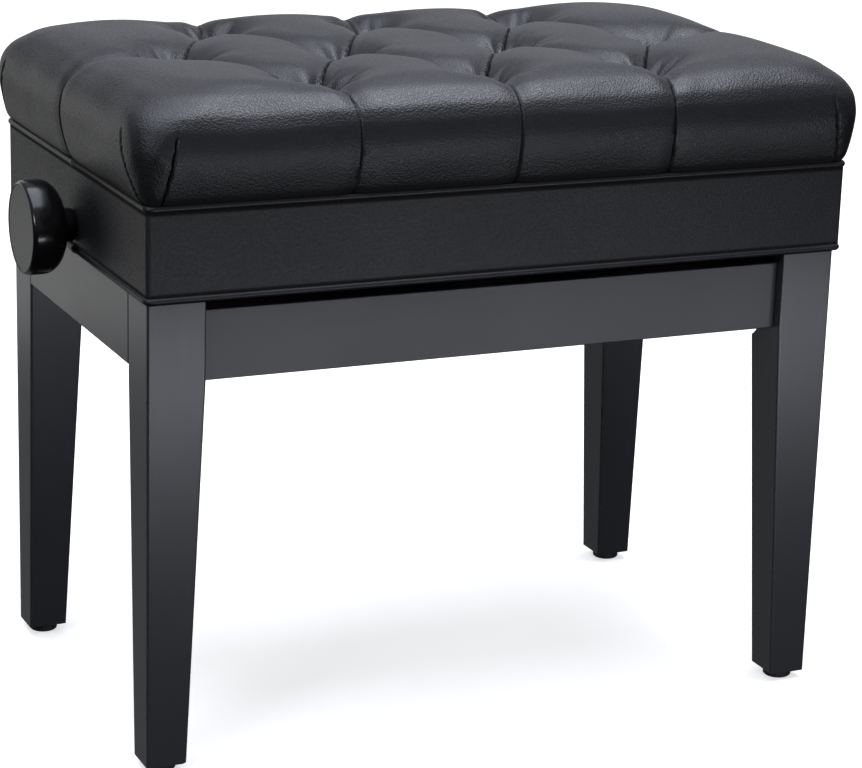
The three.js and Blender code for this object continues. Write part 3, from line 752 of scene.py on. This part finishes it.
def gather(mesh, tufts):
    """Short pleats that fan out from each tuft between its folds."""
    points, normals = points_of(mesh), points_of(mesh, "normal")
    depth = np.zeros(len(points))
    on_top = above(SHOULDER)(points)
    for tuft in tufts:
        gap = distance_from(tuft, points)
        angle = np.arctan2(points[:, 1] - tuft.y, points[:, 0] - tuft.x)
        near = on_top & (gap < 45 * mm)
        for turn in np.arange(PLEATS) * (2 * math.pi / PLEATS):
            lean = turn + rng.uniform(-0.18, 0.18)
            reach = rng.uniform(20, 40) * mm
            strength = rng.uniform(1.5, 3.2) * mm
            off = gap * np.abs(np.sin(angle - lean))
            facing = np.cos(angle - lean) > 0
            swell = np.exp(-(off / PLEAT_WIDTH) ** 2) * np.exp(-((gap - 0.45 * reach) / (0.45 * reach)) ** 2)
            depth = np.maximum(depth, np.where(near & facing, strength * swell, 0))
    put_points(mesh, points - normals * depth[:, None])


def make_cushion(finishes):
    tufts, folds = cushion_plan()
    mesh = plain_cushion()
    held = tuft_cushion(mesh, tufts, folds)
    put_points(mesh, inflate(mesh.copy(), held, tufts))
    fine = refine(mesh)
    gather(fine, tufts)
    rest_on_board(fine)
    bm = bmesh.new()
    bm.from_mesh(fine)
    sew(bm, folds + corner_darts())
    piece = new_piece("tufted_cushion", mesh_from(bm, "tufted_cushion", 80), finishes["cushion"],
                      "seat", "cushion_leatherette", "cushion")
    return piece


# ---------- piping ----------
def lead(bm, edges, move):
    """Runs an open ring of edges on by this much, and returns the ring at its new end."""
    grown = bmesh.ops.extrude_edge_only(bm, edges=edges)["geom"]
    verts = [item for item in grown if isinstance(item, bmesh.types.BMVert)]
    bmesh.ops.translate(bm, vec=move, verts=verts)
    return [item for item in grown if isinstance(item, bmesh.types.BMEdge) and item.is_boundary]


def make_piping(name, finishes):
    """A leatherette-covered cord once round the seat, with its thicker join at the middle of the left end."""
    low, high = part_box(name)
    radius = 2.5 * mm
    bend = 4.5 * mm
    join_gap = 0.7 * mm
    join_thicker = 1.28
    mid_z = (high.z + low.z) / 2
    half_x, half_y = high.x - radius, high.y - radius
    bm = bmesh.new()
    centre = Vector((-half_x, -join_gap, mid_z))
    heading = Vector((0, -1, 0))
    start = Matrix.Translation(centre) @ Matrix.Rotation(math.pi / 2, 4, "X")
    ring = bmesh.ops.create_circle(bm, segments=16, radius=radius, matrix=start)["verts"]
    first = edges = list({edge for vert in ring for edge in vert.link_edges})
    grow, shrink = (join_thicker, 1, join_thicker), (1 / join_thicker, 1, 1 / join_thicker)
    bmesh.ops.scale(bm, vec=grow, space=Matrix.Translation(-centre), verts=ring)
    for move in (4 * mm, 1.2 * mm):
        edges = lead(bm, edges, heading * move)
        centre += heading * move
    neck = list({vert for edge in edges for vert in edge.verts})
    bmesh.ops.scale(bm, vec=shrink, space=Matrix.Translation(-centre), verts=neck)
    for sx, sy in ((-1, -1), (1, -1), (1, 1), (-1, 1)):
        pivot = Vector((sx * (half_x - bend), sy * (half_y - bend), mid_z))
        edges = lead(bm, edges, heading * (pivot - centre).dot(heading))
        turned = bmesh.ops.spin(bm, geom=edges, cent=pivot, axis=UP, angle=math.pi / 2, steps=8,
                                dvec=(0, 0, 0))
        edges = [item for item in turned["geom_last"] if isinstance(item, bmesh.types.BMEdge)]
        heading = Matrix.Rotation(math.pi / 2, 3, "Z") @ heading
        centre = pivot + Matrix.Rotation(-math.pi / 2, 3, "Z") @ heading * bend
    last = lead(bm, edges, heading * (centre.y - join_gap))
    for loop in (first, last):
        bmesh.ops.edgeloop_fill(bm, edges=loop)
    bmesh.ops.recalc_face_normals(bm, faces=bm.faces)
    return new_piece(f"{name}_cord", mesh_from(bm, name, 50), finishes["piping"], "seat", "leatherette", name)


# ---------- knobs ----------
def make_knob(end, finishes):
    """Turned knob with a flat face, a rounded back and a neck."""
    node = f"knob_{end}"
    low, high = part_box(node)
    sx = -1 if end == "left" else 1
    face = low.x if sx < 0 else high.x
    depth = high.x - low.x
    radius = (high.z - low.z) / 2
    axis_z = (high.z + low.z) / 2
    flat = radius - 2.6 * mm
    rim = 0.5 * mm  # stands proud of the flat face
    neck = 13 * mm
    round_from, round_to = 14 * mm, 30 * mm
    # Depth behind the face and distance from the axis, from the middle of the face round to the neck's end.
    profile = [
        (rim, 0.0),
        (rim, flat - rim),
        (0.0, flat),
        (0.25 * mm, flat + 0.9 * mm),
        (1.0 * mm, radius - 0.9 * mm),
        (2.2 * mm, radius - 0.3 * mm),
        (5 * mm, radius),
        (9 * mm, radius),
    ]
    turns = 14
    for step in range(turns + 1):
        angle = step / turns * math.pi / 2
        along = round_from + (round_to - round_from) * math.sin(angle)
        profile.append((along, neck + (radius - neck) * math.cos(angle)))
    profile += [(depth - 1.2 * mm, neck - 0.6 * mm), (depth, neck - 1.4 * mm), (depth, 0.0)]
    bm = bmesh.new()
    verts = [bm.verts.new((face - sx * x, 0, axis_z + r)) for x, r in profile]
    edges = [bm.edges.new(pair) for pair in zip(verts, verts[1:])]
    bmesh.ops.spin(bm, geom=verts + edges, cent=(0, 0, axis_z), axis=(1, 0, 0), angle=2 * math.pi,
                   steps=72, use_merge=True)
    bmesh.ops.remove_doubles(bm, verts=bm.verts, dist=0.01 * mm)
    bmesh.ops.recalc_face_normals(bm, faces=bm.faces)
    for surface in bm.faces:
        centre = surface.calc_center_median()
        if abs(centre.x - face) < rim + 0.1 * mm and math.hypot(centre.y, centre.z - axis_z) < flat:
            surface.material_index = 1
    return new_piece(f"{node}_turned", mesh_from(bm, node, 30), [finishes["knob"], finishes["knob_face"]],
                     "spindle", "knob_plastic", node)


# ---------- the rest of the bench ----------
SIDES = ("front", "rear")
ENDS = ("left", "right")
SHAFTS = ("lower_fixed_shaft", "lower_sliding_shaft", "upper_fixed_shaft", "upper_sliding_shaft")
CORNERS = [f"{side}_{end}" for side in SIDES for end in ENDS]


def finish_frame(finishes):
    for corner in CORNERS:
        eased(f"leg_{corner}", 0.5 * mm, finishes["paint_z"], "leg_frame", "black_lacquer", over=18)
        eased(f"corner_block_{corner}", 0.8 * mm, finishes["beech"], "leg_frame", "beech")
        refinish(f"glide_{corner}", finishes["glide"])
        refinish(f"leg_bolt_{corner}", finishes["zinc"])
        refinish(f"rail_screw_{corner}", finishes["zinc"])
        refinish(f"seat_screw_{corner}", finishes["zinc"])
    for side in SIDES:
        eased(f"apron_{side}", 0.9 * mm, finishes["paint_x_shaded"], "leg_frame", "black_lacquer")
        refinish(f"lower_rail_{side}", finishes["black_steel"])
        refinish(f"upper_rail_{side}", finishes["black_steel"])
        eased(f"skirt_board_{side}", 0.5 * mm, finishes["stained_plywood"], "seat", "plywood", over=50)
    for end in ENDS:
        eased(f"apron_{end}", 0.5 * mm, finishes["paint_y"], "leg_frame", "black_lacquer")
        refinish(f"skirt_board_{end}", finishes["stained_plywood"])
        refinish(f"spindle_bush_{end}", finishes["bush"])
        refinish(f"thrust_collar_{end}", finishes["zinc"])
    refinish("seat_board", finishes["plywood"])
    for side in SIDES:
        refinish(f"outer_arm_{side}", finishes["black_steel"])
        refinish(f"inner_arm_{side}", finishes["black_steel"])
        refinish(f"centre_pivot_{side}", finishes["zinc"])
    for shaft in (*SHAFTS, "spindle"):
        refinish(shaft, finishes["zinc"])
    refinish("drive_nut", finishes["brass"])


def make_skirt(finishes):
    """The leatherette round the seat box, run up to both pipings, with tight corners and painted shade along
    its top and bottom edges.
    """
    bm = merged_copy("skirt_cover")
    low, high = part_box("skirt_cover")
    middle = (low.z + high.z) / 2
    to_upper_piping, to_lower_piping = 1.6 * mm, 1.2 * mm
    upper = [vert for vert in bm.verts if vert.co.z > middle]
    lower = [vert for vert in bm.verts if vert.co.z < middle]
    bmesh.ops.translate(bm, vec=(0, 0, to_upper_piping), verts=upper)
    bmesh.ops.translate(bm, vec=(0, 0, -to_lower_piping), verts=lower)
    # Painted shade: within about 2 mm of the top and bottom edges, by the pipings, the cover is marked to be
    # darkened almost to black.
    crease = bm.verts.layers.float.new("crease")
    plain_from, plain_to = low.z + 2.2 * mm, high.z - 2.4 * mm
    for height in (plain_from, plain_to):
        every = list(bm.verts) + list(bm.edges) + list(bm.faces)
        bmesh.ops.bisect_plane(bm, geom=every, dist=0.01 * mm, plane_co=(0, 0, height), plane_no=(0, 0, 1))
    spare = 0.1 * mm
    for vert in bm.verts:
        vert[crease] = 0.0 if plain_from - spare < vert.co.z < plain_to + spare else 1.0
    for sx in (-1, 1):
        for sy in (-1, 1):
            corner = Vector((sx * high.x, sy * high.y, 0))
            near = [vert for vert in bm.verts if (vert.co.xy - corner.xy).length < 10.5 * mm]
            bmesh.ops.scale(bm, vec=(0.5, 0.5, 1), space=Matrix.Translation(-corner), verts=near)
    return new_piece("skirt_leather", mesh_from(bm, "skirt_leather", 30), finishes["skirt"],
                     "seat", "leatherette", "skirt_cover")


def make_backdrop():
    """A pale floor that glows, dimmer near the bench and white further off, inside a round wall that glows
    white.
    """
    shader = Shader("pale_floor", roughness=0.6, specular=0.2)
    speckle = shader.noise(shader.place(), 30)
    shader.feed("Base Color", shader.mix(speckle, (0.86, 0.86, 0.86), (0.88, 0.88, 0.88)))
    reach = shader.vector("LENGTH", {0: shader.place()}, output=1)
    # Painted light: the floor and wall glow, from 0.6 within 0.5 m of the middle to full white beyond 2.4 m.
    shader.feed("Emission Color", shader.mix(reach.between(0.5, 2.4), (0.6, 0.6, 0.6), (1, 1, 1)))
    shader.steady("Emission Strength", 1.0)
    floor, wall = bmesh.new(), bmesh.new()
    bmesh.ops.create_grid(floor, x_segments=1, y_segments=1, size=12)
    bmesh.ops.create_cone(wall, cap_ends=False, segments=96, radius1=11, radius2=11, depth=16)
    for name, bm in (("floor", floor), ("wall", wall)):
        mesh = mesh_from(bm, name)
        mesh.materials.append(shader.material)
        backdrop = bpy.data.objects.new(name, mesh)
        bpy.context.scene.collection.objects.link(backdrop)
        backdrop.visible_glossy = False
        backdrop.visible_diffuse = False
        backdrop.visible_shadow = name == "floor"


place_camera()
light_studio()
make_backdrop()
finishes = make_finishes()
finish_frame(finishes)
make_skirt(finishes)
for cord in ("piping_lower", "piping_upper"):
    make_piping(cord, finishes)
for end in ENDS:
    make_knob(end, finishes)
make_cushion(finishes)
